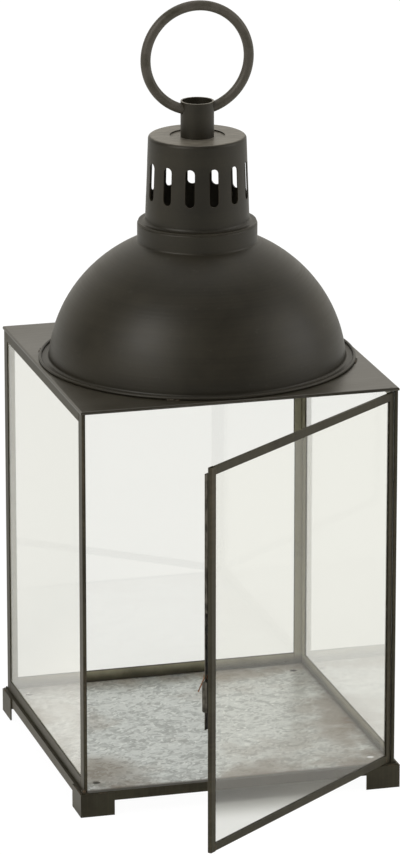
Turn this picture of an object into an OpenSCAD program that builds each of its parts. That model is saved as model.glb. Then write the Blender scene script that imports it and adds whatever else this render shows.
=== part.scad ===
// Floor lantern of painted sheet steel: a square glazed case on a low base,
// a spun dome with a slotted chimney, and a ring to carry it by. Candles stand
// on the zinc floor plate, and the front is a glazed door on two pins.
// Millimetres. The origin is the centre of the footprint on the ground,
// +X to the right, +Y to the back, +Z up. The door is drawn partly open.

/* [Base] */
// Height of the top of the floor plate above the ground
deck_z = 22.5; // [16:0.5:60]
// Height of the skirt's outer face
skirt_h = 9; // [6:0.5:14]
// How far the skirt stands out beyond the glass case
skirt_out = 2.8; // [1.2:0.1:12]
// Sheet of the skirt
skirt_t = 1.2; // [0.8:0.1:2]
// Width of the painted rim around the floor plate
rim_w = 4.6; // [3.4:0.1:5]
// How far the skirt's shelf reaches in under the floor plate
shelf_w = 9; // [5:0.5:10]
// Sheet of the zinc floor plate
floor_t = 1; // [0.6:0.1:2]
// Length of each leg of an angle foot
foot_leg = 31.5; // [15:0.5:60]
// Sheet of the angle feet
foot_t = 1.2; // [0.8:0.1:3]
// How far the top of a foot lies below the rim
foot_drop = 1; // [0.5:0.1:3]
// Diameter of the drain holes in the floor plate
drain_d = 7.5; // [4:0.5:9]
// Drain holes, from the plate's side edges
drain_in_x = 15; // [14.5:0.5:30]
// Drain holes, from the plate's front and back edges
drain_in_y = 20; // [14.5:0.5:40]

/* [Glass case] */
// Width and depth over the glass case
case_w = 292; // [250:0.2:360]
// Height of the glass case between floor plate and roof
case_h = 355.5; // [300:0.5:500]
// Face width of the channels that stand at the ends of the side panels
side_face = 12; // [8:0.5:20]
// Face width of the channels that stand at the ends of the back panel
rear_face = 7.5; // [6:0.5:20]
// Face width of the bottom rails
bottom_face = 10.5; // [8:0.5:20]
// Face width of the top rails, with the part behind the roof's lip
top_face = 11; // [8:0.5:20]
// Sheet of the glazing channels
channel_wall = 0.6; // [0.5:0.1:1]
// Radius of the folds along a channel, outside, on the case and on the door
channel_fold_r = 1; // [0.6:0.1:1.3]
// Thickness of the glass
glass_t = 2; // [1.6:0.1:2.4]

/* [Door] */
// Face width of the door's frame
door_face = 7; // [6:0.5:12]
// Sheet of the door's frame
door_wall = 0.9; // [0.7:0.1:1.2]
// Gap between the door and the case at each side
door_side_gap = 0.4; // [0.4:0.1:1]
// Gap under the door
door_bottom_gap = 0.8; // [0.6:0.1:2]
// Gap over the door, partly hidden by the roof's lip
door_top_gap = 3.8; // [3:0.1:8]
// How far the door stands open
door_open = 39.2; // [0:0.1:95]
// Radius of the two pins that the door turns on
pin_r = 1.2; // [0.8:0.1:1.2]
// How far each pin reaches into the door
pin_reach = 8; // [4:0.5:20]
// Thickness of the heads and collars on the pins
collar_t = 0.6; // [0.4:0.1:0.6]

/* [Door catch] */
// Height of the catch's lower tip above the ground
catch_z = 136; // [80:1:140]
// Length of the thin tip below the nub
catch_tip = 16; // [6:1:20]
// Height of the nub
nub_h = 28; // [14:1:36]
// How far the nub stands out from the door's inner face
nub_depth = 5.6; // [4.6:0.1:8]
// Length of the leaf spring that stands free, below its carrier
leaf_free = 107; // [80:1:130]
// How far the top of the folded carrier lies below the door's top
carrier_drop = 6.2; // [5:0.1:60]
// Depth of the carrier
carrier_depth = 2.4; // [2:0.1:4]
// Width of the carrier
carrier_w = 6; // [5:0.1:7]
// Sheet of the carrier
carrier_t = 0.7; // [0.5:0.1:0.8]
// Thickness of the leaf spring
leaf_t = 1; // [0.6:0.1:1.4]
// Width of the leaf spring
leaf_w = 5; // [4:0.1:5]
// Radius of the copper rivet's head
rivet_r = 2.4; // [1.5:0.1:2.4]
// Height of the rivet's head
rivet_h = 1.4; // [0.8:0.1:2]
// Radius of the wire tail
tail_r = 0.6; // [0.4:0.1:0.8]
// How far the tail leans back from the rivet
tail_back = 7; // [3:0.5:10]
// How far the tail hangs down from the rivet
tail_down = 15; // [6:0.5:18]

/* [Roof] */
// Sheet of the roof plate
roof_t = 0.8; // [0.8:0.1:2]
// Height of the lip folded down round the roof plate
lip_h = 2.6; // [2:0.1:3.5]
// Radius of the fold, outside
fold_r = 1.5; // [1.2:0.1:2]
// Gap between the lip and the glass case
lip_gap = 0.1; // [0.1:0.05:0.5]
// How far the roof plate reaches in under the dome
roof_rest = 7.9; // [6:0.1:30]

/* [Dome] */
// From the dome's widest radius out to the edge of its flange
flange_w = 8.6; // [8.5:0.1:34]
// Height of the dome above its widest level
dome_rise = 129.7; // [80:0.1:180]
// How far the dome's widest level lies below the roof
dome_sink = 9; // [0:0.5:20]
// Sheet of the dome
dome_t = 1; // [0.8:0.1:2]
// How far the flange that the dome stands on stays inside the glass case
flange_inset = 1.5; // [0.3:0.1:2]
// Radius of the bead rolled on the flange's edge
bead_r = 1.5; // [1.2:0.1:2.5]
// Radius of the cove between flange and dome, and dome and collar
cove_r = 2.2; // [1:0.1:3]
// Radius of the collar on top of the dome
collar_r = 54.5; // [50:0.1:70]
// Height of the collar's top above the roof
collar_top = 127; // [124:0.5:150]
// Radius of the collar's top edge
collar_edge_r = 1.5; // [1:0.1:3]
// Width of the ledge turned in at the collar's top
ledge_w = 10.5; // [10:0.1:12]

/* [Chimney] */
// Height of the chimney
chimney_h = 80.2; // [76:0.1:140]
// Radius of the chimney at its foot
chimney_foot_r = 47.2; // [46:0.1:48]
// Radius of the chimney at its shoulder
chimney_top_r = 44.5; // [42:0.1:48]
// Sheet of the chimney
chimney_t = 1.2; // [0.8:0.1:2]
// Radius of the rounded shoulder
shoulder_r = 3; // [2:0.1:6]
// Radius of the cove above the foot
foot_cove_r = 3; // [2:0.5:6]
// Radius of the chimney's foot flange
chimney_flange_r = 53.5; // [52.5:0.1:54.5]
// Number of vent slots
slot_n = 13; // [3:1:18]
// Width of a slot
slot_w = 8.7; // [3:0.1:11]
// Height of a slot
slot_h = 34.6; // [14:0.1:48]
// Middle of the slots above the collar
slot_mid = 41; // [40:0.5:46]
// Turn of the first slot away from the front
slot_turn = 3.9; // [-30:0.1:30]
// Radius of the hole in the chimney's top
crown_hole_r = 24.9; // [22:0.1:32]

/* [Neck and ring] */
// Radius of the disc under the chimney's top
disc_r = 32; // [28:0.5:38]
// Sheet of the disc
disc_t = 1.2; // [0.8:0.1:3]
// Outer radius of the neck tube
tube_r = 15.15; // [13:0.05:18]
// Wall of the neck tube
tube_wall = 1.5; // [1:0.1:2]
// Height of the tube's rim above the chimney's top
tube_up = 31.5; // [26:0.1:60]
// Radius of the washer soldered round the tube's foot
washer_r = 20; // [18.5:0.5:26]
// Thickness of the washer
washer_t = 1.2; // [0.8:0.1:3]
// Radius of the ring handle, to the middle of its rod
ring_r = 48; // [40:0.1:56]
// Radius of the ring's rod
rod_r = 4.6; // [3:0.1:4.6]
// Middle of the ring's holes below the tube's rim
eye_drop = 6.6; // [6.5:0.1:9]
// Play of the rod in its holes
eye_play = 0.8; // [0.7:0.1:1.1]

/* [Hidden] */
$fn = 96;
// Clearance of what is fixed or soldered in place
seat = 0.02;
// Clearance of the pins that the door turns on
pin_play = 0.05;
// Play of the glass in its channels, at each face and at the cut edges
glass_play = 0.1;
glass_edge = 0.3;
// Play of the floor plate inside the rim
plate_play = 0.2;
// Gap between the door and the collar that carries it
thrust_gap = 0.1;
// Points along each curve of a spun profile
curve_n = 10;
dome_n = 36;

slot_t = glass_t + 2 * glass_play;
channel_t = slot_t + 2 * channel_wall;
case_half = case_w / 2;
rear_w = case_w - 2 * channel_t;
roof_under = deck_z + case_h;
roof_top = roof_under + roof_t;
roof_w = case_w + 2 * (lip_gap + roof_t);
skirt_half = case_half + skirt_out;
plate_w = 2 * (skirt_half - rim_w - plate_play);
shelf_top = deck_z - floor_t;
shelf_under = shelf_top - skirt_t;

door_t = slot_t + 2 * door_wall;
door_w = rear_w - 2 * door_side_gap;
pivot_x = door_w / 2 - door_t / 2;
pivot_y = -case_half + door_t / 2;
lever = door_w - door_t / 2;
door_z0 = deck_z + door_bottom_gap;
door_z1 = roof_under - door_top_gap;
bore_r = pin_r + pin_play;
// From the pivot to the ends of the glass slots in the two door stiles
slot_near = bore_r + door_wall;
slot_far = lever - door_wall;

inner_face = door_t / 2;
leaf_y = inner_face + carrier_depth;
nub_z = catch_z + catch_tip;
carrier_z = catch_z + leaf_free;
carrier_l = door_z1 - carrier_drop - carrier_z;
leaf_x = -lever + (carrier_w - leaf_w) / 2;
rivet_z = nub_z + nub_h + rivet_r + 1.5;

flange_r = case_half - flange_inset;
dome_r = flange_r - flange_w;
roof_hole_r = dome_r - roof_rest;
dome_z = roof_top - dome_sink;
collar_z = roof_top + collar_top;
chimney_z = collar_z + chimney_h;
disc_z = chimney_z - chimney_t - disc_t;
washer_z = disc_z - washer_t;
tube_top = chimney_z + tube_up;
eye_z = tube_top - eye_drop;
eye_r = rod_r + eye_play;
ring_z = eye_z + sqrt(ring_r ^ 2 - (tube_r - tube_wall / 2) ^ 2);

steel = "#3a3630";
worn = "#4a4238";
zinc = "#b9b8b2";
glass = "#dfe3da66";
copper = "#8a5a3c";

// ---- shared shapes -------------------------------------------------------

// Points along an arc of an ellipse
function arc(c, rx, ry, a0, a1, n) =
  [for (i = [0:n]) let (a = a0 + (a1 - a0) * i / n) [c[0] + rx * cos(a), c[1] + ry * sin(a)]];

// Height of the dome at radius r, less the sheet t, and the reverse
function dome_height(r, t) = dome_z + (dome_rise - t) * sqrt(1 - (r / (dome_r - t)) ^ 2);
function dome_angle_z(z, t) = asin((z - dome_z) / (dome_rise - t));
function dome_angle_r(r, t) = acos(r / (dome_r - t));

// The back is drawn as it is, the other sides are turned round to their places
module on_rear() { children(); }
module on_left() { rotate([0, 0, 90]) children(); }
module on_front() { rotate([0, 0, 180]) children(); }
module on_right() { rotate([0, 0, -90]) children(); }

// An outline pushed along X: its x is the distance from the middle, its y the height
module along_x(length) {
  rotate([90, 0, 90]) linear_extrude(length, center = true) children();
}

// Side of a square frame, mitred at both ends
module mitred(half, height) {
  intersection() {
    along_x(2 * half) children();
    linear_extrude(height) polygon([[0, 0], [half, half], [-half, half]]);
  }
}

// Block with folded edges on top and mitred corners
module folded_block(w, h, r) {
  module outline() {
    translate([-w / 2, 0]) square([w, h - r]);
    translate([r - w / 2, 0]) square([w - 2 * r, h]);
    for (s = [-1, 1]) translate([s * (w / 2 - r), h - r]) circle(r);
  }
  intersection() {
    along_x(w) outline();
    rotate([0, 0, 90]) along_x(w) outline();
  }
}

// ---- glass case ----------------------------------------------------------

// Section of a folded glazing channel, open upwards
module channel(face, wall) {
  width = slot_t + 2 * wall;
  r = channel_fold_r;
  difference() {
    union() {
      translate([r, 0]) square([width - 2 * r, face]);
      translate([0, r]) square([width, face - r]);
      for (x = [r, width - r]) translate([x, r]) circle(r);
    }
    translate([wall, wall]) square([slot_t, face]);
  }
}

// Channel standing at the end of a panel, open towards the panel's middle
module stile(width, face, end) {
  translate([0, 0, deck_z]) mirror([(1 + end) / 2, 0, 0]) linear_extrude(case_h)
    translate([-width / 2, case_half]) rotate(-90) channel(face, channel_wall);
}

module bottom_rail(width, stile_face) {
  along_x(width - 2 * stile_face)
    translate([case_half - channel_t, deck_z]) channel(bottom_face, channel_wall);
}

module top_rail(width, stile_face) {
  along_x(width - 2 * stile_face)
    translate([case_half - channel_t, roof_under]) mirror([0, 1]) channel(top_face, channel_wall);
}

module pane(width) {
  side = channel_wall + glass_edge;
  translate([side - width / 2, case_half - channel_t / 2 - glass_t / 2, deck_z + channel_wall])
    cube([width - 2 * side, glass_t, case_h - 2 * channel_wall - glass_edge]);
}

module left_front_stile() color(worn) on_left() stile(case_w, side_face, -1);
module left_rear_stile() color(steel) on_left() stile(case_w, side_face, 1);
module left_top_rail() color(steel) on_left() top_rail(case_w, side_face);
module left_bottom_rail() color(steel) on_left() bottom_rail(case_w, side_face);
module rear_left_stile() color(steel) on_rear() stile(rear_w, rear_face, -1);
module rear_right_stile() color(steel) on_rear() stile(rear_w, rear_face, 1);
module rear_top_rail() color(steel) on_rear() top_rail(rear_w, rear_face);
module rear_bottom_rail() color(steel) on_rear() bottom_rail(rear_w, rear_face);
module right_front_stile() color(worn) on_right() stile(case_w, side_face, 1);
module right_rear_stile() color(steel) on_right() stile(case_w, side_face, -1);
module right_top_rail() color(steel) on_right() top_rail(case_w, side_face);
module right_bottom_rail() color(steel) on_right() bottom_rail(case_w, side_face);
module glass_left() color(glass) on_left() pane(case_w);
module glass_rear() color(glass) on_rear() pane(rear_w);
module glass_right() color(glass) on_right() pane(case_w);

// ---- door ----------------------------------------------------------------

// The door is drawn shut, from its pivot along -X, and turned open
module on_door() {
  translate([pivot_x, pivot_y, 0]) rotate([0, 0, door_open]) children();
}

// The room that a pin and its play take up
module pin_bore(z0, z1, r) {
  translate([0, 0, z0]) cylinder(h = z1 - z0, r = r);
}

// Stile with a rounded edge that the pins go into
module door_hinge_stile() color(worn) on_door() {
  depth = pin_reach + 1;
  difference() {
    translate([0, 0, door_z0]) linear_extrude(door_z1 - door_z0) difference() {
      union() {
        circle(r = door_t / 2);
        translate([door_t / 2 - door_face, -door_t / 2]) square([door_face - door_t / 2, door_t]);
      }
      translate([-door_face, -slot_t / 2]) square([door_face - slot_near, slot_t]);
    }
    pin_bore(door_z0 - 1, door_z0 + depth, bore_r);
    pin_bore(door_z1 - depth, door_z1 + 1, bore_r);
  }
}

module door_free_stile() color(worn) on_door() {
  translate([-lever, door_t / 2, door_z0]) linear_extrude(door_z1 - door_z0)
    rotate(-90) channel(door_face, door_wall);
}

// Rail between the two stiles, open upwards
module door_rail() {
  length = lever + door_t / 2 - 2 * door_face;
  translate([door_t / 2 - door_face - length / 2, 0, 0]) along_x(length)
    translate([-door_t / 2, 0]) channel(door_face, door_wall);
}

module door_bottom_rail() color(steel) on_door() translate([0, 0, door_z0]) door_rail();
module door_top_rail() color(steel) on_door() translate([0, 0, door_z1]) mirror([0, 0, 1]) door_rail();

module door_glass() color(glass) on_door() {
  translate([-slot_far + glass_edge, -glass_t / 2, door_z0 + door_wall])
    cube([slot_far - slot_near - 2 * glass_edge, glass_t, door_z1 - door_z0 - 2 * door_wall - glass_edge]);
}

// Pin riveted through the roof plate, flush with its top
module hinge_pin_upper() color(steel) translate([pivot_x, pivot_y, 0]) {
  pin_bore(door_z1 - pin_reach, roof_top, pin_r);
  pin_bore(roof_under - collar_t, roof_under, door_t / 2);
}

// Pin with a head under the shelf and a collar that the door stands on
module hinge_pin_lower() color(steel) translate([pivot_x, pivot_y, 0]) {
  pin_bore(shelf_under - collar_t, shelf_under, door_t / 2);
  pin_bore(shelf_under, door_z0 + pin_reach, pin_r);
  pin_bore(deck_z, door_z0 - thrust_gap, door_t / 2);
}

// ---- door catch, on the inner face of the free stile -----------------------

// Folded channel soldered to the stile
module catch_carrier() color(steel) on_door() {
  translate([-lever, inner_face, carrier_z]) linear_extrude(carrier_l) difference() {
    square([carrier_w, carrier_depth]);
    translate([carrier_t, carrier_t]) square([carrier_w, carrier_depth - 2 * carrier_t]);
  }
}

// Leaf soldered to the carrier's back, its lower end free to bend
module catch_spring() color(steel) on_door() difference() {
  translate([leaf_x, leaf_y, catch_z]) cube([leaf_w, leaf_t, leaf_free + carrier_l]);
  translate([leaf_x + leaf_w / 2, 0, rivet_z]) rotate([-90, 0, 0])
    cylinder(h = leaf_y + 2 * leaf_t, r = rivet_r / 2 + seat);
}

// Block that grips the leaf and rubs on the case when the door is shut
module catch_nub() color(steel) on_door() {
  start = inner_face + 0.3;
  depth = nub_depth - 0.3;
  round = depth / 4;
  difference() {
    translate([-lever, start, nub_z]) rotate([90, 0, 90]) linear_extrude(carrier_w) {
      square([depth - round, nub_h]);
      translate([0, round]) square([depth, nub_h - 2 * round]);
      for (z = [round, nub_h - round]) translate([depth - round, z]) circle(round);
    }
    translate([leaf_x - seat, leaf_y - seat, nub_z - 1])
      cube([leaf_w + carrier_w, leaf_t + 2 * seat, nub_h + 2]);
  }
}

// Rivet through the leaf with a bent wire tail
module catch_rivet() color(copper) on_door() {
  lean = atan2(tail_back, tail_down);
  length = norm([tail_back, tail_down]);
  translate([leaf_x + leaf_w / 2, leaf_y + leaf_t, rivet_z]) {
    rotate([-90, 0, 0]) cylinder(h = rivet_h, r = rivet_r);
    translate([0, -leaf_t - rivet_h / 2, 0]) rotate([-90, 0, 0]) {
      cylinder(h = rivet_h / 2, r = rivet_r * 0.8);
      cylinder(h = rivet_h + leaf_t, r = rivet_r / 2);
    }
    translate([0, rivet_h / 2 + tail_r, 0]) rotate([180 + lean, 0, 0]) cylinder(h = length, r = tail_r);
  }
}

// ---- base ----------------------------------------------------------------

// Folded section: outer face, rim, and a shelf that the floor plate lies on
module skirt_bar() {
  inner = skirt_half - rim_w;
  mitred(skirt_half, deck_z + 1) polygon([
    [skirt_half, deck_z - skirt_h], [skirt_half, deck_z], [inner, deck_z],
    [inner, shelf_top], [inner - shelf_w, shelf_top], [inner - shelf_w, shelf_under],
    [skirt_half - skirt_t, shelf_under], [skirt_half - skirt_t, deck_z - skirt_h]
  ]);
}

module lower_pin_hole() {
  translate([pivot_x, pivot_y, 0]) pin_bore(shelf_under - 1, deck_z + 1, pin_r + seat);
}

module skirt_front() color(steel) difference() {
  on_front() skirt_bar();
  lower_pin_hole();
}
module skirt_rear() color(steel) on_rear() skirt_bar();
module skirt_left() color(steel) on_left() skirt_bar();
module skirt_right() color(steel) on_right() skirt_bar();

module floor_plate() color(zinc) difference() {
  translate([-plate_w / 2, -plate_w / 2, shelf_top]) cube([plate_w, plate_w, floor_t]);
  for (sx = [-1, 1], sy = [-1, 1])
    translate([sx * (plate_w / 2 - drain_in_x), sy * (plate_w / 2 - drain_in_y), shelf_top - 1])
      cylinder(h = floor_t + 2, d = drain_d);
  lower_pin_hole();
}

// Angle that wraps the corner of the skirt
module foot(sx, sy) {
  mirror([(1 - sx) / 2, 0, 0]) mirror([0, (1 - sy) / 2, 0])
    translate([skirt_half + foot_t - foot_leg, skirt_half + foot_t - foot_leg, 0])
      linear_extrude(deck_z - foot_drop) difference() {
        square(foot_leg);
        square(foot_leg - foot_t);
      }
}
module foot_front_left() color(steel) foot(-1, -1);
module foot_front_right() color(steel) foot(1, -1);
module foot_rear_left() color(steel) foot(-1, 1);
module foot_rear_right() color(steel) foot(1, 1);

// ---- roof, dome and chimney -------------------------------------------------

module roof_plate() color(steel) difference() {
  inside = roof_w - 2 * roof_t;
  translate([0, 0, roof_top - lip_h]) folded_block(roof_w, lip_h, fold_r);
  translate([-inside / 2, -inside / 2, roof_under - lip_h]) cube([inside, inside, lip_h]);
  cylinder(h = roof_top + 1, r = roof_hole_r);
  translate([pivot_x, pivot_y, 0]) cylinder(h = roof_top + 1, r = pin_r + seat);
}

// Spun in one: beaded flange, dome, collar and the ledge turned in on top
module dome() color(steel) {
  under = dome_t - bead_r;
  foot_z = roof_top + dome_t + cove_r;
  foot_r = dome_r * cos(dome_angle_z(foot_z, 0));
  neck_a = 250;
  neck_r = collar_r + cove_r * (1 + cos(neck_a));
  neck_z = dome_height(neck_r, 0) - cove_r * sin(neck_a);
  inner_r = collar_r - dome_t;
  outside = concat(
    arc([flange_r - bead_r, roof_top + bead_r], bead_r, bead_r, -90, 180 - asin(under / bead_r), 2 * curve_n),
    arc([foot_r + cove_r, foot_z], cove_r, cove_r, 270, 180, curve_n),
    arc([0, dome_z], dome_r, dome_rise, dome_angle_z(foot_z, 0) + 1, dome_angle_r(neck_r, 0) - 0.5, dome_n),
    arc([collar_r + cove_r, neck_z], cove_r, cove_r, neck_a, 180, curve_n),
    arc([collar_r - collar_edge_r, collar_z - collar_edge_r], collar_edge_r, collar_edge_r, 0, 90, curve_n)
  );
  inside = concat(
    [[collar_r - ledge_w, collar_z], [collar_r - ledge_w, collar_z - dome_t], [inner_r, collar_z - dome_t]],
    arc([0, dome_z], dome_r - dome_t, dome_rise - dome_t,
        dome_angle_r(inner_r, dome_t), dome_angle_z(roof_top, dome_t), dome_n)
  );
  rotate_extrude($fn = 180) polygon(concat(outside, inside));
}

// Outline of one vent slot, standing on its round end
module slot_outline() {
  straight = slot_h - slot_w;
  square([slot_w, straight], center = true);
  for (s = [-1, 1]) translate([0, s * straight / 2]) circle(d = slot_w);
}

module chimney() color(steel) {
  cove = [chimney_foot_r + foot_cove_r, collar_z + chimney_t + foot_cove_r];
  crown = [chimney_top_r - shoulder_r, chimney_z - shoulder_r];
  inner_shoulder = shoulder_r - chimney_t;
  cut_r = crown_hole_r;
  difference() {
    rotate([0, 0, slot_turn + 180 / slot_n]) rotate_extrude($fn = 144) polygon(concat(
      [[chimney_flange_r, collar_z], [chimney_flange_r, collar_z + chimney_t]],
      arc(cove, foot_cove_r, foot_cove_r, 270, 180, curve_n),
      arc(crown, shoulder_r, shoulder_r, 0, 90, curve_n),
      [[crown_hole_r, chimney_z], [crown_hole_r, chimney_z - chimney_t]],
      arc(crown, inner_shoulder, inner_shoulder, 90, 0, curve_n),
      [[chimney_foot_r - chimney_t, collar_z + chimney_t + foot_cove_r], [chimney_foot_r - chimney_t, collar_z]]
    ));
    for (i = [0:slot_n - 1])
      rotate([0, 0, slot_turn + i * 360 / slot_n])
        translate([0, -cut_r, collar_z + slot_mid]) rotate([90, 0, 0])
          linear_extrude(chimney_flange_r - cut_r) slot_outline();
  }
}

// Sheet ring that the tube passes through
module collar_ring(z, t, r) {
  translate([0, 0, z]) difference() {
    cylinder(h = t, r = r);
    translate([0, 0, -1]) cylinder(h = t + 2, r = tube_r + seat);
  }
}

module neck_disc() color(steel) collar_ring(disc_z, disc_t, disc_r);
module neck_washer() color(worn) collar_ring(washer_z, washer_t, washer_r);

// Tube pushed up through washer and disc, with two holes that the ring runs in
module neck_tube() color(worn) difference() {
  translate([0, 0, washer_z]) cylinder(h = tube_top - washer_z, r = tube_r);
  translate([0, 0, washer_z - 1]) cylinder(h = tube_top - washer_z + 2, r = tube_r - tube_wall);
  translate([0, 0, eye_z]) rotate([0, 90, 0]) cylinder(h = 4 * tube_r, r = eye_r, center = true);
}

module ring_handle() color(worn) {
  translate([0, 0, ring_z]) rotate([90, 0, 0]) rotate_extrude($fn = 144) translate([ring_r, 0]) circle(rod_r);
}

ring_handle();
neck_tube();
neck_washer();
neck_disc();
chimney();
dome();
roof_plate();
left_front_stile();
left_rear_stile();
left_top_rail();
left_bottom_rail();
rear_left_stile();
rear_right_stile();
rear_top_rail();
rear_bottom_rail();
right_front_stile();
right_rear_stile();
right_top_rail();
right_bottom_rail();
glass_left();
glass_rear();
glass_right();
door_hinge_stile();
door_free_stile();
door_top_rail();
door_bottom_rail();
door_glass();
hinge_pin_upper();
hinge_pin_lower();
catch_carrier();
catch_spring();
catch_nub();
catch_rivet();
skirt_front();
skirt_rear();
skirt_left();
skirt_right();
floor_plate();
foot_front_left();
foot_front_right();
foot_rear_left();
foot_rear_right();
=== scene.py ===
import math
import random

import bmesh
import bpy
from mathutils import Matrix, Vector


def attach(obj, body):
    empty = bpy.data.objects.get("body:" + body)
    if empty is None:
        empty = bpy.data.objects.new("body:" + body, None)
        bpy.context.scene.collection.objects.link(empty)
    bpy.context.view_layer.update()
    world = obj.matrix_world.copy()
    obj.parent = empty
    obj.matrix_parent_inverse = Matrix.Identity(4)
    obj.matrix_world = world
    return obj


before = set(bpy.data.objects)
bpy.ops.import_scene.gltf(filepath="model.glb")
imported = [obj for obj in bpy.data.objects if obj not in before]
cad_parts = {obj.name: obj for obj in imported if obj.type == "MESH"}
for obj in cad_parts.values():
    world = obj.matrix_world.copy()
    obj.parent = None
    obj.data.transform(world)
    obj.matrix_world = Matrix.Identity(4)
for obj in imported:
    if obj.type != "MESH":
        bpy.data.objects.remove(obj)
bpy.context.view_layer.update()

bl_info = {
    "name": "Floor Lantern",
    "version": (1, 0, 0),
    "blender": (4, 5, 0),
    "location": "View3D > Sidebar > Lantern",
    "description": "Finishes, solder and a plain stage for a glazed floor lantern",
    "category": "Object",
}

MM = 0.001
UP = Vector((0, 0, 1))
WHITE = (1, 1, 1)


def corners(name):
    """The lowest and the highest corner of a CAD node."""
    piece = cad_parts[name]
    points = [piece.matrix_world @ Vector(corner) for corner in piece.bound_box]
    return [
        Vector(pick(point[axis] for point in points) for axis in range(3))
        for pick in (min, max)
    ]


# ---- places and lengths, in metres -------------------------------------------

DECK = corners("floor_plate")[1].z
PLATE_HALF = corners("floor_plate")[1].x
ROOF = corners("roof_plate")[1].z
CROWN = corners("chimney")[1].z

# Rust spreads round a place near one drain hole, this far to the left and front of the middle
RUST = Vector((119.2, 98.2)) * MM
# Under the lantern the camera sees painted and real shadow instead of white, as far out as this, and
# less far to the front and back
DARK_HALF = 128 * MM
DARK_LESS = 23 * MM
DARK_FADE = 6 * MM
# Between these distances from the middle the floor's painted shadow turns to its own colour
SHADED = (90 * MM, 190 * MM)
# Behind glass the floor turns white between these distances to the front and back, and sideways
WHITE_FRONT = (150 * MM, 195 * MM)
WHITE_SIDE = (139 * MM, 145 * MM)
FLOOR_RADIUS = 8.0
FLOOR_DROP = 0.5 * MM

# ---- the pieces that share a finish, by the node names of the frame ------------

SPUN = ("dome", "chimney", "neck_disc", "neck_tube")
FEET = ("foot_front_left", "foot_front_right", "foot_rear_left", "foot_rear_right")
RAILS = (
    "left_top_rail", "left_bottom_rail", "rear_top_rail", "rear_bottom_rail",
    "right_top_rail", "right_bottom_rail",
)
CHANNELS = (
    *RAILS, "left_rear_stile", "rear_left_stile", "rear_right_stile", "right_rear_stile",
)
SHEET = (
    "door_top_rail", "door_bottom_rail",
    "skirt_front", "skirt_rear", "skirt_left", "skirt_right",
    *FEET,
)
RUBBED = ("left_front_stile", "right_front_stile", "door_hinge_stile", "door_free_stile")
HANDLE = ("neck_washer", "ring_handle")
BARE = ("hinge_pin_upper", "hinge_pin_lower", "catch_carrier", "catch_spring", "catch_nub")
PANES = ("glass_left", "glass_rear", "glass_right", "door_glass")


def tone(red, green, blue):
    """A colour as it looks on a screen, 0 to 255, as the linear numbers that shaders use."""
    def linear(part):
        part /= 255
        return part / 12.92 if part <= 0.04045 else ((part + 0.055) / 1.055) ** 2.4
    return (linear(red), linear(green), linear(blue))


# ---- shader nodes as expressions ----------------------------------------------


class Value:
    """A number that changes over a surface, which adds Math nodes as it is reckoned with."""

    def __init__(self, tree, socket):
        self.tree = tree
        self.socket = socket

    def _math(self, operation, *terms, clamp=False):
        inputs = dict(enumerate(terms))
        made = self.tree.add("ShaderNodeMath", {"operation": operation, "use_clamp": clamp}, inputs)
        return Value(self.tree, made.outputs[0])

    def __add__(self, other):
        return self._math("ADD", self, other)

    def __radd__(self, other):
        return self._math("ADD", other, self)

    def __sub__(self, other):
        return self._math("SUBTRACT", self, other)

    def __rsub__(self, other):
        return self._math("SUBTRACT", other, self)

    def __mul__(self, other):
        return self._math("MULTIPLY", self, other)

    def __rmul__(self, other):
        return self._math("MULTIPLY", other, self)

    def __truediv__(self, other):
        return self._math("DIVIDE", self, other)

    def __rtruediv__(self, other):
        return self._math("DIVIDE", other, self)

    def __pow__(self, other):
        return self._math("POWER", self, other)

    def __abs__(self):
        return self._math("ABSOLUTE", self)

    def clamped(self):
        return self._math("ADD", self, 0.0, clamp=True)

    def most(self, other):
        return self._math("MAXIMUM", self, other)

    def swing(self, size):
        """Noise about its middle, from half the size below 0 to half above."""
        return (self - 0.5) * size


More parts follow.
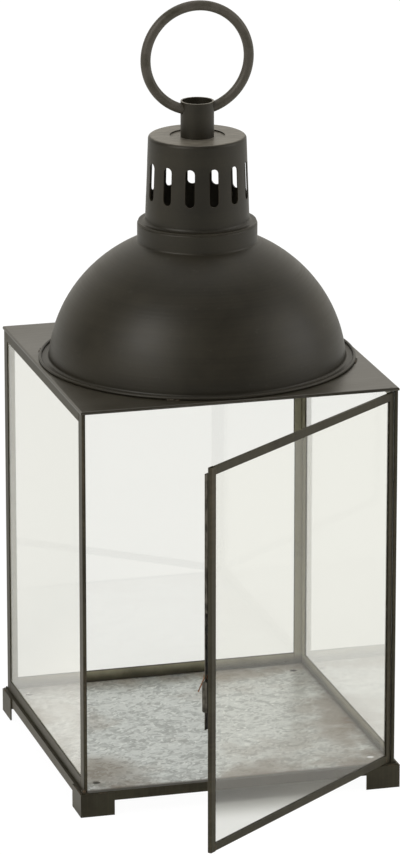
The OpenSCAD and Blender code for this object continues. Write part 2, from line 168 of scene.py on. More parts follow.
class Tree:
    """A node tree, filled by one method that makes any node."""

    def __init__(self, tree):
        self.tree = tree
        tree.nodes.clear()

    def add(self, kind, settings=None, inputs=None):
        """Make a node: its settings first, then its sockets."""
        made = self.tree.nodes.new(kind)
        for name, value in (settings or {}).items():
            setattr(made, name, value)
        for name, value in (inputs or {}).items():
            socket = made.inputs[name]
            if isinstance(value, Value):
                value = value.socket
            if isinstance(value, bpy.types.NodeSocket):
                self.tree.links.new(value, socket)
            elif socket.type == "RGBA" and len(value) == 3:
                socket.default_value = (*value, 1)
            else:
                socket.default_value = value
        return made

    def value(self, kind, settings=None, inputs=None, output=0):
        """Make a node and take one of its outputs to reckon with."""
        return Value(self, self.add(kind, settings, inputs).outputs[output])

    def place(self):
        """Where a point is on the piece, in metres."""
        return self.add("ShaderNodeTexCoord").outputs["Object"]

    def normal(self):
        return self.add("ShaderNodeNewGeometry").outputs["Normal"]

    def ray(self, kind):
        """1 for a ray of a kind, such as camera or glossy, and 0 for any other."""
        return self.value("ShaderNodeLightPath", output=f"Is {kind} Ray")

    def axes(self, vector):
        parts = self.add("ShaderNodeSeparateXYZ", None, {0: vector}).outputs
        return [Value(self, part) for part in parts]

    def vector(self, x, y, z):
        return self.add("ShaderNodeCombineXYZ", None, {0: x, 1: y, 2: z}).outputs[0]

    def stretched(self, vector, x, y, z):
        """A vector with each axis multiplied, so that a texture runs along one of them."""
        inputs = {0: vector, 1: (x, y, z)}
        return self.add("ShaderNodeVectorMath", {"operation": "MULTIPLY"}, inputs).outputs[0]

    def noise(self, vector, scale=1.0, detail=3.0, rough=0.55, distort=0.0):
        """Cloudy noise, mostly between 0.3 and 0.7, and 0.5 on the whole."""
        return self.value("ShaderNodeTexNoise", None, {
            "Vector": vector, "Scale": scale, "Detail": detail,
            "Roughness": rough, "Distortion": distort,
        })

    def patches(self, vector, low, high, **noise):
        """Patches of noise: 0 where it is below the low level and 1 above the high one."""
        return self.between(self.noise(vector, **noise), low, high)

    def between(self, value, low, high, out_low=0.0, out_high=1.0):
        """A smooth step of a value from one level to another."""
        return self.value("ShaderNodeMapRange", {"interpolation_type": "SMOOTHSTEP"}, {
            0: value, 1: low, 2: high, 3: out_low, 4: out_high,
        })

    def mixed(self, factor, first, second):
        """A colour between two, by a factor."""
        inputs = {0: factor, 6: first, 7: second}
        return self.add("ShaderNodeMix", {"data_type": "RGBA"}, inputs).outputs[2]

    def bump(self, relief, distance):
        """A normal that follows a relief, which stands a distance in metres high."""
        inputs = {"Height": relief, "Distance": distance}
        return self.add("ShaderNodeBump", None, inputs).outputs[0]

    def edges(self, radius):
        """1 on an edge and 0 on a flat, from how far a rounded normal turns away."""
        flat, edge = 0.995, 0.80
        soft = self.add("ShaderNodeBevel", {"samples": 6}, {"Radius": radius}).outputs[0]
        inputs = {0: soft, 1: self.normal()}
        cosine = self.value("ShaderNodeVectorMath", {"operation": "DOT_PRODUCT"}, inputs, "Value")
        return self.between(cosine, flat, edge)


def new_material(name):
    material = bpy.data.materials.new(name)
    material.use_nodes = True
    return material, Tree(material.node_tree)


def finish_surface(tree, **sockets):
    """The one shader of a finish, joined to the output."""
    inputs = {name.replace("_", " "): value for name, value in sockets.items()}
    shader = tree.add("ShaderNodeBsdfPrincipled", None, inputs)
    tree.add("ShaderNodeOutputMaterial", None, {0: shader.outputs[0]})


# ---- finishes ---------------------------------------------------------------


def spun_paint(look):
    """Satin dark paint over spun sheet: faint rings from the tool, a soft mottle and dust."""
    material, tree = new_material("spun_paint")
    place = tree.place()
    x, y, z = tree.axes(place)
    radius = (x * x + y * y) ** 0.5
    # Height less radius grows all along the profile, from the flange to the crown
    along = (z - radius) * look.ring_pitch
    rings = tree.noise(tree.vector(x * 3, y * 3, along), detail=4.0, rough=0.65)
    broad = tree.noise(tree.vector(x * 1.5, y * 1.5, along * 0.12), detail=2.0)
    mottle = tree.noise(place, scale=14.0, detail=5.0, rough=0.6, distort=0.4)
    speck = tree.noise(place, scale=900.0, detail=2.0)
    dust = tree.patches(place, 0.60, 0.80, scale=160.0) * 0.08
    shade = (mottle * 0.6 + broad * 0.25 + rings * 0.15).clamped()
    base = tree.mixed(tree.between(shade, 0.36, 0.66), look.paint_dark, look.paint)
    base = tree.mixed(dust, base, look.dust)
    # The upward top of the chimney is lighter: partly worn paint, partly a painted highlight
    upward = tree.axes(tree.normal())[2]
    wiped_and_highlit = tree.between(upward, 0.80, 0.97) * tree.between(z, CROWN - 4 * MM, CROWN - 1 * MM)
    smear = tree.noise(tree.stretched(place, 60.0, 420.0, 60.0), rough=0.6, distort=0.6)
    base = tree.mixed(wiped_and_highlit * tree.between(smear, 0.3, 0.7, 0.45, 1.0), base, look.wiped_and_highlit)
    base = tree.mixed(tree.edges(look.edge_width) * look.wear, base, look.rubbed)
    rough = look.paint_rough + mottle.swing(0.16) + rings.swing(0.12) - wiped_and_highlit * 0.06
    relief = rings * 0.7 + speck * 0.12 + broad * 0.8
    finish_surface(
        tree, Base_Color=base, Roughness=rough, Specular_IOR_Level=look.paint_gloss,
        Normal=tree.bump(relief, look.ring_depth),
    )
    return material


def sheet_paint(look, name, rub, brown, inside=None):
    """The same paint on folded sheet, rubbed along its edges and brown in streaks along the bars.

    Nearer the middle than "inside" the sheet is pale and olive, partly thinly painted and partly a
    painted highlight, with painted shade toward the deck and along the edges.
    """
    material, tree = new_material(name)
    place = tree.place()
    x, y, z = tree.axes(place)
    mottle = tree.noise(place, scale=22.0, detail=5.0, rough=0.6, distort=0.3)
    waves = tree.noise(place, scale=9.0, detail=2.0)
    speck = tree.noise(place, scale=1100.0, detail=2.0)
    upright = tree.noise(tree.stretched(place, 420.0, 420.0, 7.0), detail=4.0, rough=0.6)
    level = tree.noise(tree.stretched(place, 9.0, 9.0, 380.0), rough=0.6)
    streak = tree.between(upright * 0.7 + level * 0.3, 0.47, 0.66)
    patch = tree.patches(place, 0.52, 0.68, scale=46.0, detail=4.0, rough=0.65)
    border = tree.edges(look.line_width)
    edge = tree.edges(look.edge_width) * (0.4 + patch * 0.6)
    worn = (edge * rub + streak * brown * (1 - border)).clamped()
    thick = tree.between(mottle, 0.30, 0.60) * (1 - border * brown)
    base = tree.mixed(thick, look.paint, look.sheet)
    base = tree.mixed(worn, base, look.rubbed)
    if inside is not None:
        wall = abs(x).most(abs(y))
        face = tree.between(wall, inside + 0.2 * MM, inside - 0.2 * MM)
        # Pale inner faces of the channels: partly thinly painted, partly a painted highlight
        pale_paint_and_highlight = face * tree.between(mottle, 0.2, 0.5, 0.7, 1.0)
        # Painted shade: the inner faces darken toward the deck
        height = z + mottle.swing(9 * MM)
        painted_deck_shade = tree.between(height, DECK + 1.5 * MM, DECK + 13 * MM, 0.05, 1.0)
        # Painted shade: dark lines along the edges of the inner faces
        painted_edge_shade = tree.between(border, 0.05, 0.6, 1.0, 0.15)
        base = tree.mixed(pale_paint_and_highlight * painted_deck_shade * painted_edge_shade, base, look.inside)
    rough = look.paint_rough + mottle.swing(0.2) + speck.swing(0.08) - worn * 0.08
    relief = waves * 6.0 + speck * 0.15 + streak * 0.3
    finish_surface(
        tree, Base_Color=base, Roughness=rough, Specular_IOR_Level=look.sheet_gloss,
        Normal=tree.bump(relief, look.sheet_wave),
    )
    return material


def roof_paint(look):
    """The same paint on the broad roof sheet, where it is cloudier and has more gloss."""
    material, tree = new_material("roof_paint")
    place = tree.place()
    cloud = tree.noise(place, scale=11.0, detail=5.0, rough=0.6, distort=0.5)
    speck = tree.noise(place, scale=1000.0, detail=2.0)
    wipe = tree.noise(tree.stretched(place, 30.0, 260.0, 30.0))
    waves = tree.noise(place, scale=7.0, detail=2.0)
    base = tree.mixed(tree.between(cloud, 0.35, 0.68), look.paint, look.roof)
    base = tree.mixed(tree.edges(look.edge_width) * look.wear, base, look.rubbed)
    rough = look.paint_rough - 0.08 + cloud.swing(0.2) + wipe.swing(0.1)
    finish_surface(
        tree, Base_Color=base, Roughness=rough, Specular_IOR_Level=look.roof_gloss,
        Normal=tree.bump(waves * 8.0 + speck * 0.15, look.sheet_wave),
    )
    return material


def handle_steel(look):
    """Browned paint worn smooth by hands, on the ring and the washer."""
    material, tree = new_material("handle_steel")
    place = tree.place()
    mottle = tree.noise(place, scale=60.0, detail=5.0, rough=0.6, distort=0.5)
    pit = tree.patches(place, 0.60, 0.74, scale=420.0)
    draw = tree.noise(tree.stretched(place, 160.0, 900.0, 160.0), detail=2.0)
    base = tree.mixed(tree.between(mottle, 0.25, 0.60), look.sheet, look.handle)
    base = tree.mixed(tree.edges(look.edge_width) * look.wear, base, look.rubbed)
    rough = look.paint_rough + mottle.swing(0.2) + pit * 0.14
    finish_surface(
        tree, Base_Color=base, Roughness=rough, Specular_IOR_Level=look.paint_gloss,
        Normal=tree.bump(draw * 0.5 - pit * 0.8, distance=0.04 * MM),
    )
    return material


def bare_steel(look):
    """Blackened spring steel of the catch and the pins, scratched along its length."""
    material, tree = new_material("bare_steel")
    place = tree.place()
    scratch = tree.noise(tree.stretched(place, 900.0, 900.0, 30.0))
    mottle = tree.noise(place, scale=120.0, detail=4.0)
    bright = tree.between(scratch * 0.5 + mottle * 0.5, 0.42, 0.6)
    finish_surface(
        tree, Base_Color=tree.mixed(bright, look.paint_dark, look.steel), Metallic=0.55,
        Roughness=0.42 + mottle.swing(0.3), Normal=tree.bump(scratch, distance=0.03 * MM),
    )
    return material


def copper(look):
    """Dull brown copper of the rivet and its wire."""
    material, tree = new_material("copper")
    patina = tree.noise(tree.place(), scale=500.0, detail=4.0, rough=0.6, distort=0.5)
    brown = tree.between(patina, 0.4, 0.62)
    finish_surface(
        tree, Base_Color=tree.mixed(brown, look.copper, look.rubbed), Metallic=0.85,
        Roughness=0.38 + patina.swing(0.3), Normal=tree.bump(patina, distance=0.04 * MM),
    )
    return material


def zinc(look):
    """Spangled zinc sheet: faint feathered crystals, stained along the walls and by a corner."""
    material, tree = new_material("zinc")
    place = tree.place()
    x, y = tree.axes(place)[:2]
    # The place pushed about by noise, so that the borders of the crystals wander
    warp = tree.add("ShaderNodeTexNoise", None, {"Vector": place, "Scale": 90.0, "Detail": 3.0})
    warped = tree.add("ShaderNodeVectorMath", {"operation": "MULTIPLY_ADD"}, {
        0: warp.outputs["Color"], 1: (12 * MM, 12 * MM, 0.0), 2: place}).outputs[0]

    def crystals(scale, turn):
        """How far a point is from the middle of its crystal, and the crystal's own brightness."""
        turned = tree.add("ShaderNodeVectorRotate", {"rotation_type": "Z_AXIS"}, {
            "Vector": warped, "Angle": math.radians(turn)}).outputs[0]
        cell = tree.add("ShaderNodeTexVoronoi", {"feature": "SMOOTH_F1"}, {
            "Vector": tree.stretched(turned, 1.0, 1.6, 1.0), "Scale": scale, "Smoothness": 0.35})
        return Value(tree, cell.outputs["Distance"]), tree.axes(cell.outputs["Color"])[0]

    large_edge, large = crystals(scale=95.0, turn=25)
    fine_edge, fine = crystals(scale=260.0, turn=-35)
    feather = tree.noise(tree.stretched(warped, 420.0, 150.0, 1.0), detail=5.0, rough=0.65)
    cloud = tree.noise(place, scale=12.0, detail=4.0, rough=0.6)
    bright = (large * 0.24 + fine * 0.36 + feather * 0.38 + cloud.swing(0.2)).clamped()
    base = tree.mixed(tree.between(bright, 0.25, 0.57), look.zinc_dark, look.zinc)
    flash = tree.between(feather * 0.6 + fine * 0.4, 0.60, 0.80) * 0.6
    base = tree.mixed(flash, base, look.zinc_bright)

    # Stains along the walls, wider at the right, pools anywhere, and rust by one drain hole
    ragged = 50 * MM
    wall = abs(x).most(abs(y))
    outer = wall + x.most(0.0) * 0.22
    outer += tree.noise(place, scale=26.0, detail=4.0).swing(ragged)
    stain = tree.between(outer, 110 * MM, 150 * MM)
    stain *= tree.patches(place, 0.38, 0.62, scale=24.0, detail=4.0)
    pool = tree.patches(place, 0.52, 0.66, scale=9.0, detail=4.0, rough=0.6, distort=0.4) * 0.35
    away = ((x + RUST.x) ** 2 + (y + RUST.y) ** 2) ** 0.5
    rust = tree.between(away + cloud.swing(ragged), 50 * MM, 10 * MM) * 0.6
    base = tree.mixed((stain * 0.75 + pool + rust).clamped(), base, look.stain)
    # Darker in a thin line along the plate's border
    rim = wall + feather.swing(3 * MM)
    dark_border = tree.between(rim, PLATE_HALF - 5 * MM, PLATE_HALF - 1 * MM) * 0.8
    base = tree.mixed(dark_border, base, look.dark_border)

    finish_surface(
        tree, Base_Color=base, Metallic=0.72 - (stain + rust).clamped() * 0.5,
        Roughness=0.27 + (1 - bright) * 0.20 + (stain + rust) * 0.22,
        Normal=tree.bump(bright * 0.6 + large_edge * 0.4 + fine_edge * 0.3, distance=0.05 * MM),
    )
    return material


def window_glass(look):
    """Clear glass that lets the lamps through, with a breath of dust on it."""
    material, tree = new_material("window_glass")
    drawn = tree.stretched(tree.place(), 16.0, 16.0, 5.0)
    smear = tree.patches(drawn, 0.45, 0.75, detail=5.0, rough=0.6)
    glass = tree.add("ShaderNodeBsdfPrincipled", None, {
        "Base Color": look.glass, "Roughness": smear * 0.012, "IOR": 1.5,
        "Transmission Weight": 1.0,
    })
    clear = tree.add("ShaderNodeBsdfTransparent", None, {"Color": look.glass})
    both = tree.add("ShaderNodeMixShader", None, {
        0: tree.ray("Shadow"), 1: glass.outputs[0], 2: clear.outputs[0]})
    tree.add("ShaderNodeOutputMaterial", None, {0: both.outputs[0]})
    return material


def solder_finish(look):
    """Painted-over solder, browned where the heat ran."""
    material, tree = new_material("solder")
    lump = tree.noise(tree.place(), scale=260.0, detail=4.0, rough=0.6)
    brown = tree.between(lump, 0.40, 0.62)
    finish_surface(
        tree, Base_Color=tree.mixed(brown, look.paint, look.solder),
        Roughness=0.45 + lump.swing(0.3), Specular_IOR_Level=look.paint_gloss,
        Normal=tree.bump(lump, distance=0.2 * MM),
    )
    return material


def dress(names, material):
    """Give CAD nodes a finish in place of their plain one."""
    for name in names:
        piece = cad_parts[name]
        if not piece.material_slots:
            piece.data.materials.append(material)
        for slot in piece.material_slots:
            slot.material = material


# ---- pieces made here -----------------------------------------------------------


def bead(mesh, start, end, width, proud, up, rng):
    """A lumpy run of solder from one point to another, half sunk in what it joins."""
    sides, fewest, apart = 8, 6, 0.7 * width
    along = end - start
    steps = max(fewest, int(along.length / apart))
    side = along.normalized().cross(up).normalized()
    rows = []
    for i in range(steps + 1):
        at = i / steps
        # Thinner over the first and the last sixth, and uneven all along
        swell = min(1.0, 6 * min(at, 1 - at) + 0.2) * rng.uniform(0.75, 1.15)
        centre = start.lerp(end, at) + side * rng.uniform(-0.1, 0.1) * width
        turns = [2 * math.pi * k / sides for k in range(sides)]
        rows.append([
            mesh.verts.new(
                centre + (side * math.cos(turn) * width + up * math.sin(turn) * proud) * swell)
            for turn in turns
        ])
    for a, b in zip(rows, rows[1:]):
        for k in range(sides):
            n = (k + 1) % sides
            mesh.faces.new((a[k], a[n], b[n], b[k]))
    mesh.faces.new(rows[0][::-1])
    mesh.faces.new(rows[-1])


def blob(mesh, centre, size, rng):
    """A drop of solder, flattened and uneven."""
    made = bmesh.ops.create_icosphere(mesh, subdivisions=2, radius=1.0)["verts"]
    turn = Matrix.Rotation(rng.uniform(0, math.pi), 3, "Z")
    for vert in made:
        rough = 1 + rng.uniform(-0.10, 0.10)
        vert.co = centre + turn @ Vector([vert.co[axis] * size[axis] * rough for axis in range(3)])


def new_object(name, data):
    """A mesh, a lamp or a camera as an object in the scene."""
    made = bpy.data.objects.new(name, data)
    bpy.context.scene.collection.objects.link(made)
    return made


def mesh_object(name, mesh, material):
    """A finished mesh as an object of one material."""
    data = bpy.data.meshes.new(name)
    mesh.to_mesh(data)
    mesh.free()
    data.materials.append(material)
    return new_object(name, data)


def mesh_piece(name, mesh, material, body):
    """A finished mesh as a named piece that rides on a body."""
    bmesh.ops.recalc_face_normals(mesh, faces=mesh.faces)
    for face in mesh.faces:
        face.smooth = True
    piece = mesh_object(name, mesh, material)
    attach(piece, body)


# ---- settings --------------------------------------------------------------------


def colour(name, text, default):
    return bpy.props.FloatVectorProperty(
        name=name, description=text, subtype="COLOR", size=3, min=0.0, max=1.0, default=default)


def number(name, text, default, low=0.0, high=1.0, unit="NONE"):
    return bpy.props.FloatProperty(
        name=name, description=text, unit=unit, default=default, min=low, max=high)


def length(name, text, default, high=1 * MM):
    return number(name, text, default, high=high, unit="LENGTH")


def power(name, text, default):
    return number(name, text, default, high=1000, unit="POWER")


def angle(name, text, default):
    return bpy.props.FloatProperty(
        name=name, description=text, subtype="ANGLE", default=math.radians(default))


class LanternLook(bpy.types.PropertyGroup):
    """Colours and surface of the lantern's finishes"""

    paint: colour("Paint", "Dark satin paint of the sheet metal", tone(46, 42, 32))
    paint_dark: colour("Paint, thick", "The paint where it lies thick", tone(34, 31, 23))
    sheet: colour("Sheet", "The paint on folded sheet", tone(59, 56, 44))
    roof: colour("Roof", "Cloudy lighter paint on the roof sheet", tone(56, 52, 42))
    # Partly thinly painted, partly a painted highlight on the channels' inner faces
    inside: colour("Inside", "Thin paint on the inner faces of the channels", tone(160, 156, 133))
    rubbed: colour("Rubbed", "Brown of the rubbed edges", tone(100, 88, 70))
    handle: colour("Handle", "Browned paint of the ring", tone(80, 75, 67))
    dust: colour("Dust", "Dust in the paint", tone(96, 92, 84))
    # Partly worn paint, partly a painted highlight on the chimney's upward top
    wiped_and_highlit: colour("Wiped", "Thin wiped paint on top of the chimney", tone(120, 114, 102))
    steel: colour("Steel", "Blackened steel of the catch", tone(92, 88, 80))
    copper: colour("Copper", "Dull copper of the rivet", tone(150, 96, 66))
    solder: colour("Solder", "Brown of the soldered joints", tone(88, 72, 54))
    zinc: colour("Zinc", "Zinc sheet of the floor", tone(213, 216, 212))
    zinc_dark: colour("Zinc, dark", "Darker crystals of the zinc", tone(176, 179, 175))
    zinc_bright: colour("Zinc, bright", "Brightest crystals of the zinc", tone(250, 252, 247))
    dark_border: colour("Darkening", "Dirt along the border of the zinc", tone(84, 77, 64))
    stain: colour("Stain", "Brown stain on the zinc", tone(140, 125, 106))
    glass: colour("Glass", "Tint of the window glass", tone(252, 252, 249))
    paint_rough: number("Paint roughness", "How dull the paint is", 0.42, low=0.1)
    paint_gloss: number("Paint gloss", "Specular level of the paint", 0.30)
    sheet_gloss: number("Sheet gloss", "Specular level of the paint on folded sheet", 0.16)
    roof_gloss: number("Roof gloss", "Specular level of the roof's paint", 0.6)
    wear: number("Wear", "How strongly edges are rubbed", 0.35)
    stile_wear: number("Stile wear", "How strongly the edges of the front stiles are rubbed", 0.175)
    brown: number("Streaks", "How strongly the sheet is streaked brown", 0.10)
    stile_brown: number("Stile streaks", "How strongly the front stiles are streaked", 0.32)
    edge_width: length("Edge width", "Reach of the rubbed edges", 0.7 * MM, high=5 * MM)
    # Also the reach of the painted shade along the edges of the channels' inner faces
    line_width: length(
        "Line width", "Reach of the dark lines along the inner faces", 1.0 * MM, high=5 * MM)
    inner_face: length(
        "Inner faces", "Distance from the middle within which the channels are pale",
        144.3 * MM, high=200 * MM)
    ring_pitch: number(
        "Ring pitch", "Spinning rings for each metre of profile", 420.0, low=50, high=2000)
    ring_depth: length("Ring depth", "Depth of the spinning rings", 0.05 * MM)
    sheet_wave: length("Sheet waves", "Depth of the waves in the folded sheet", 0.05 * MM)


class LanternStage(bpy.types.PropertyGroup):
    """Camera, lamps and floor"""

    place: bpy.props.FloatVectorProperty(
        name="Camera place", description="Where the camera stands",
        subtype="TRANSLATION", unit="LENGTH", default=(-1.27161, -4.58529, 1.73844))
    turn: angle("Camera turn", "Turn of the camera from straight at the front", -15.5)
    tilt: angle("Camera tilt", "How far the camera looks down", 16.82)
    lens: number(
        "Focal length", "Of the camera, in millimetres", 228.74, low=20, high=1000, unit="CAMERA")
    shift: bpy.props.FloatVectorProperty(
        name="Shift", description="Shift of the picture across and up",
        size=2, default=(0.0032, 0.0134))
    key: power("Key", "Power of the left lamp", 11.0)
    fill: power("Fill", "Power of the right lamp", 7.0)
    top: power("Top", "Power of the lamp above", 6.0)
    ambient: number("Ambient", "Light from all round", 0.72, high=10)
    warm: colour("Warmth", "Tint of the room as polished faces mirror it", (1.0, 0.96, 0.87))
    left_box: number("Left box", "Strength of the soft box at the left", 2.4, high=10)
    right_box: number("Right box", "Strength of the soft box at the right", 1.4, high=10)
    floor: colour("Floor", "Colour of the floor", (0.795, 0.80, 0.765))
    # Painted shadow: the floor's colour under and round the lantern
    under: colour("Ground", "Colour of the shaded ground under the lantern", (0.20, 0.20, 0.19))
    white: number("White", "Strength of the floor's white", 1.1, high=2)
    seen_white: number("White, seen", "Share of white in the floor that the camera sees", 0.88)
    glass_white: number("White, glass", "Share of white in the floor behind glass", 0.45)
    back_white: number("White, behind", "Share of white in the floor mirrored from behind", 0.38)
    glass_room: number("Room, glass", "Strength of the room behind glass", 0.84)


# ---- operators -------------------------------------------------------------------


class LANTERN_OT_spun_parts(bpy.types.Operator):
    """Paint the dome, the chimney, the disc and the neck tube with rings from the lathe"""

    bl_idname = "lantern.spun_parts"
    bl_label = "Spun Parts"

    def execute(self, context):
        dress(SPUN, spun_paint(context.scene.lantern_look))
        return {"FINISHED"}


class LANTERN_OT_sheet_parts(bpy.types.Operator):
    """Paint the roof, the glazing channels, the skirt and the feet"""

    bl_idname = "lantern.sheet_parts"
    bl_label = "Sheet Parts"

    def execute(self, context):
        look = context.scene.lantern_look
        dress(("roof_plate",), roof_paint(look))
        dress(SHEET, sheet_paint(look, "sheet_paint", look.wear, look.brown))
        pale = sheet_paint(look, "channel_paint", look.wear, look.brown, look.inner_face)
        dress(CHANNELS, pale)
        dress(RUBBED, sheet_paint(look, "rubbed_paint", look.stile_wear, look.stile_brown))
        return {"FINISHED"}


class LANTERN_OT_handle(bpy.types.Operator):
    """Finish the ring handle and the neck washer"""

    bl_idname = "lantern.handle"
    bl_label = "Handle"

    def execute(self, context):
        dress(HANDLE, handle_steel(context.scene.lantern_look))
        return {"FINISHED"}


class LANTERN_OT_catch(bpy.types.Operator):
    """Finish the door catch, its rivet and the hinge pins"""

    bl_idname = "lantern.catch"
    bl_label = "Catch and Pins"

    def execute(self, context):
        look = context.scene.lantern_look
        dress(BARE, bare_steel(look))
        dress(("catch_rivet",), copper(look))
        return {"FINISHED"}


class LANTERN_OT_floor_plate(bpy.types.Operator):
    """Finish the zinc floor plate"""

    bl_idname = "lantern.floor_plate"
    bl_label = "Floor Plate"

    def execute(self, context):
        dress(("floor_plate",), zinc(context.scene.lantern_look))
        return {"FINISHED"}


class LANTERN_OT_glass(bpy.types.Operator):
    """Finish the four panes"""

    bl_idname = "lantern.glass"
    bl_label = "Glass"

    def execute(self, context):
        dress(PANES, window_glass(context.scene.lantern_look))
        return {"FINISHED"}


class LANTERN_OT_solder(bpy.types.Operator):
    """Run solder along the feet, into the corners of case and door, and round the dome's flange"""

    bl_idname = "lantern.solder"
    bl_label = "Solder"

    def execute(self, context):
        finish = solder_finish(context.scene.lantern_look)
        rng = random.Random(7)
        mesh = bmesh.new()
        self.feet(mesh, rng)
        self.posts(mesh, rng)
        self.case_joints(mesh, rng)
        self.flange(mesh, rng)
        mesh_piece("case_solder", mesh, finish, "lantern")
        mesh = bmesh.new()
        self.door_joints(mesh, rng)
        mesh_piece("door_solder", mesh, finish, "door")
        return {"FINISHED"}

    def feet(self, mesh, rng):
        """Along the top of each leg of the angle feet, against the skirt."""
        skirt = abs(corners("skirt_left")[0].x)
        off, start, short = 0.35 * MM, 2 * MM, 7 * MM
        width, proud = 0.5 * MM, 0.45 * MM
        for name in FEET:
            low, high = corners(name)
            sx, sy = (math.copysign(1, (low + high)[axis]) for axis in range(2))
            corner = Vector((sx * skirt, sy * skirt, high.z))
            for leg in (Vector((-sx, 0, 0)), Vector((0, -sy, 0))):
                out = Vector((0, sy, 0)) if leg.x else Vector((sx, 0, 0))
                first = corner + out * off + leg * start
                last = first + leg * (high.x - low.x - short) * rng.uniform(0.8, 1.0)
                bead(mesh, first, last, width, proud, UP, rng)

    def posts(self, mesh, rng):
        """Drops at the foot of each corner post, the largest at the front left."""
        large, small = 1.5, 0.9
        side = abs(corners("left_front_stile")[0].x)
        for sx in (-1, 1):
            for sy in (-1, 1):
                size = large if (sx, sy) == (-1, -1) else small
                post = Vector((sx * side, sy * side, DECK))
                for _ in range(4):
                    across, back, rise = (rng.uniform(0, most) for most in (0.9, 0.9, 1.5))
                    away = Vector((sx * across, sy * back, rise)) * MM * size
                    drop = Vector((size, size, size * rng.uniform(0.8, 1.6))) * MM
                    blob(mesh, post + away, drop, rng)

    def case_joints(self, mesh, rng):
        """Down each joint between a rail and a stile, on the outer faces."""
        margin = 1.2 * MM
        width, proud = 0.5 * MM, 0.22 * MM
        for rail in RAILS:
            low, high = corners(rail)
            # The axis that the rail runs along, and the one that its outer face looks along
            run, side = (1, 0) if high.x - low.x < high.y - low.y else (0, 1)
            outer = max(abs(low[side]), abs(high[side]))
            out = math.copysign(1, (low + high)[side])
            normal = Vector([out if axis == side else 0 for axis in range(3)])
            for end in (low[run], high[run]):
                foot = Vector((0, 0, low.z + margin))
                foot[run] = end
                foot[side] = out * outer
                top = foot + UP * (high.z - low.z - 2 * margin)
                bead(mesh, foot, top, width, proud, normal, rng)

    def flange(self, mesh, rng):
        """Four tacks of seven drops each, where the dome's flange lies on the roof."""
        edge = corners("dome")[1].x
        spread, wide, lift = 2.6, 1.5, 0.3 * MM
        for turn in (-22, 66, 158, 246):
            for _ in range(7):
                bearing = math.radians(turn) + math.radians(rng.uniform(-spread, spread))
                at = Vector((math.cos(bearing) * edge, math.sin(bearing) * edge, ROOF + lift))
                blob(mesh, at, Vector((wide, wide, rng.uniform(0.5, 1.1))) * MM, rng)

    def door_joints(self, mesh, rng):
        """Where the door's rails meet its stiles, on both faces."""
        margin = 1 * MM
        width, proud = 0.45 * MM, 0.2 * MM
        pin_low, pin_high = corners("hinge_pin_lower")
        pivot = (pin_low + pin_high) / 2
        pivot.z = 0
        free_low, free_high = corners("door_free_stile")
        along = (free_low + free_high) / 2 - pivot
        along.z = 0
        reach = along.length
        along.normalize()
        normal = along.cross(UP)
        # A pin's collar is as thick as the door, and a stile is as wide as a rail is tall
        face = (pin_high.x - pin_low.x) / 2
        rail_low, rail_high = corners("door_bottom_rail")
        tall = rail_high.z - rail_low.z
        for at in (reach - tall / 2, tall - face):
            for z in (free_low.z, free_high.z - tall):
                for side in (-1, 1):
                    foot = pivot + along * at + normal * side * face
                    foot.z = z + margin
                    top = foot + UP * (tall - 2 * margin)
                    bead(mesh, foot, top, width, proud, normal * side, rng)


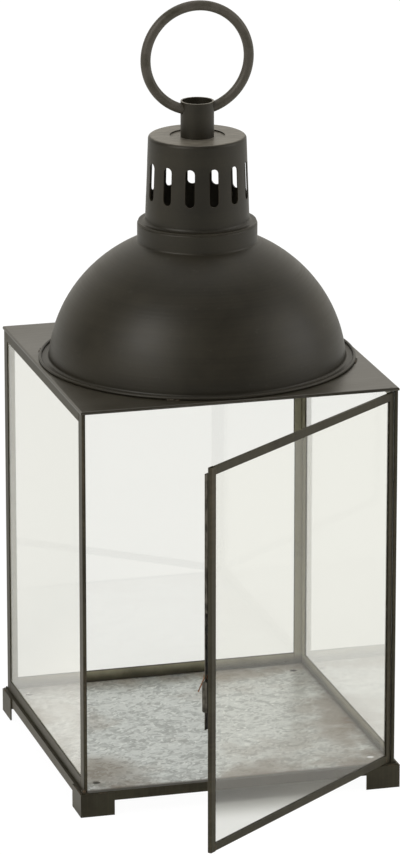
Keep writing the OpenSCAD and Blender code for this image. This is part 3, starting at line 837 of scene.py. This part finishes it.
class LANTERN_OT_stage(bpy.types.Operator):
    """Set the floor, the light and the camera"""

    bl_idname = "lantern.stage"
    bl_label = "Stage"

    def execute(self, context):
        scene = context.scene
        stage = scene.lantern_stage
        scene.view_settings.view_transform = "Standard"
        self.floor(stage)
        self.world(scene, stage)
        self.lamps(stage)
        self.camera(scene, stage)
        return {"FINISHED"}

    def floor(self, stage):
        """A pale floor that keeps the lantern's shadow, darkened by a painted shadow round it, and is
        white to the camera, metal and glass.
        """
        material, tree = new_material("floor")
        x, y = tree.axes(tree.place())[:2]
        away = abs(x).most(abs(y))
        # Painted shadow: the floor's own colour darkens toward the lantern
        shaded = tree.mixed(tree.between(away, *SHADED), stage.under, stage.floor)
        matt = tree.add("ShaderNodeBsdfDiffuse", None, {0: shaded})

        glass = tree.ray("Transmission")
        mirrored = (tree.ray("Glossy") - glass).most(0)
        tint = tree.mixed(mirrored, WHITE, stage.warm)
        white = tree.add("ShaderNodeEmission", None, {0: tint, 1: stage.white})

        # Near the lantern the camera sees the diffuse floor with its painted shadow, not the white
        under = abs(x).most(abs(y) + DARK_LESS)
        clear = tree.between(under, DARK_HALF - DARK_FADE, DARK_HALF + DARK_FADE)
        direct = tree.ray("Camera") * clear * stage.seen_white
        open_floor = tree.between(abs(y), *WHITE_FRONT).most(tree.between(abs(x), *WHITE_SIDE))
        through = glass * open_floor * stage.glass_white
        # Metal mirrors the white beside the lantern, little of it before and some of it behind
        toward = (x * math.sin(stage.turn) - y * math.cos(stage.turn)) / (x * x + y * y) ** 0.5
        beside = tree.between(abs(toward), 0.70, 0.97, 0.85, 0.12)
        beside *= tree.between(toward, -0.80, -0.35)
        behind = tree.between(toward, -0.5, -0.9) * stage.back_white
        both = tree.add("ShaderNodeMixShader", None, {
            0: direct + through + mirrored * beside.most(behind),
            1: matt.outputs[0], 2: white.outputs[0]})
        tree.add("ShaderNodeOutputMaterial", None, {0: both.outputs[0]})

        mesh = bmesh.new()
        bmesh.ops.create_circle(mesh, cap_ends=True, radius=FLOOR_RADIUS, segments=64)
        floor = mesh_object("floor", mesh, material)
        floor.location.z = -FLOOR_DROP

    def world(self, scene, stage):
        """White to the camera and behind glass, and a room with two soft boxes to the metal."""
        world = bpy.data.worlds.new("studio")
        world.use_nodes = True
        scene.world = world
        tree = Tree(world.node_tree)
        x, y, z = tree.axes(tree.add("ShaderNodeTexCoord").outputs["Generated"])
        flat = (x * x + y * y) ** 0.5

        def toward(turn):
            """How near a direction is, seen from above, to one turned from the camera's side."""
            bearing = stage.turn + math.radians(turn)
            return (x * math.sin(bearing) - y * math.cos(bearing)) / flat

        def soft_box(turn, low, high):
            """An upright soft box at one side of the camera, between two heights."""
            soft = 0.15
            rise = tree.between(z, low - soft, low + soft)
            fall = tree.between(z, high + soft, high - soft)
            return tree.between(toward(turn), 0.80, 0.99) * (rise * fall)

        # The room is bright behind the lantern and dim all round it
        room = tree.between(toward(0), -0.90, -0.15, 1.0, 0.08)
        left = soft_box(turn=-46, low=0.10, high=0.80) * stage.left_box
        right = soft_box(turn=82, low=0.0, high=0.70) * stage.right_box
        camera, glossy, glass = (tree.ray(kind) for kind in ("Camera", "Glossy", "Transmission"))
        seen = camera.most(glass * stage.glass_room)
        other = 1 - camera.most(glass)
        lit = glossy * (room + left + right) + (1 - glossy) * stage.ambient
        warm = tree.mixed((glossy - glass).most(0), WHITE, stage.warm)
        shade = tree.add("ShaderNodeBackground", None, {0: warm, 1: seen + other * lit})
        tree.add("ShaderNodeOutputWorld", None, {0: shade.outputs[0]})

    def lamps(self, stage):
        """Three round lamps that face the middle of the case."""
        middle = Vector((0, 0, 0.35))
        for name, watts, size, place in (
            ("lamp_left", stage.key, 0.9, (-1.9, -1.0, 2.0)),
            ("lamp_right", stage.fill, 1.6, (2.4, -0.6, 1.2)),
            ("lamp_top", stage.top, 2.0, (0.2, 0.4, 2.6)),
        ):
            data = bpy.data.lights.new(name, "AREA")
            data.energy = watts
            data.size = size
            data.shape = "DISK"
            lamp = new_object(name, data)
            lamp.location = place
            lamp.rotation_euler = (Vector(place) - middle).to_track_quat("Z", "Y").to_euler()

    def camera(self, scene, stage):
        """A long lens that looks down from the front, a little to the left."""
        data = bpy.data.cameras.new("camera")
        data.lens = stage.lens
        data.sensor_width = 36
        data.clip_end = 50
        data.shift_x, data.shift_y = stage.shift
        camera = new_object("camera", data)
        camera.location = stage.place
        camera.rotation_euler = (math.pi / 2 - stage.tilt, 0, stage.turn)
        scene.camera = camera


class LANTERN_PT_panel(bpy.types.Panel):
    """The lantern's finishes and its stage"""

    bl_label = "Floor Lantern"
    bl_space_type = "VIEW_3D"
    bl_region_type = "UI"
    bl_category = "Lantern"

    def draw(self, context):
        for step in STEPS:
            self.layout.operator(step.bl_idname)
        for group in (context.scene.lantern_look, context.scene.lantern_stage):
            box = self.layout.box()
            for name in group.__annotations__:
                box.prop(group, name)


STEPS = (
    LANTERN_OT_stage, LANTERN_OT_spun_parts, LANTERN_OT_sheet_parts, LANTERN_OT_handle,
    LANTERN_OT_catch, LANTERN_OT_floor_plate, LANTERN_OT_glass, LANTERN_OT_solder,
)
CLASSES = (LanternLook, LanternStage, *STEPS, LANTERN_PT_panel)


def register():
    for each in CLASSES:
        bpy.utils.register_class(each)
    bpy.types.Scene.lantern_look = bpy.props.PointerProperty(type=LanternLook)
    bpy.types.Scene.lantern_stage = bpy.props.PointerProperty(type=LanternStage)


def unregister():
    del bpy.types.Scene.lantern_stage
    del bpy.types.Scene.lantern_look
    for each in reversed(CLASSES):
        bpy.utils.unregister_class(each)


def main():
    register()
    for step in STEPS:
        group, name = step.bl_idname.split(".")
        getattr(getattr(bpy.ops, group), name)()


if __name__ == "__main__":
    main()
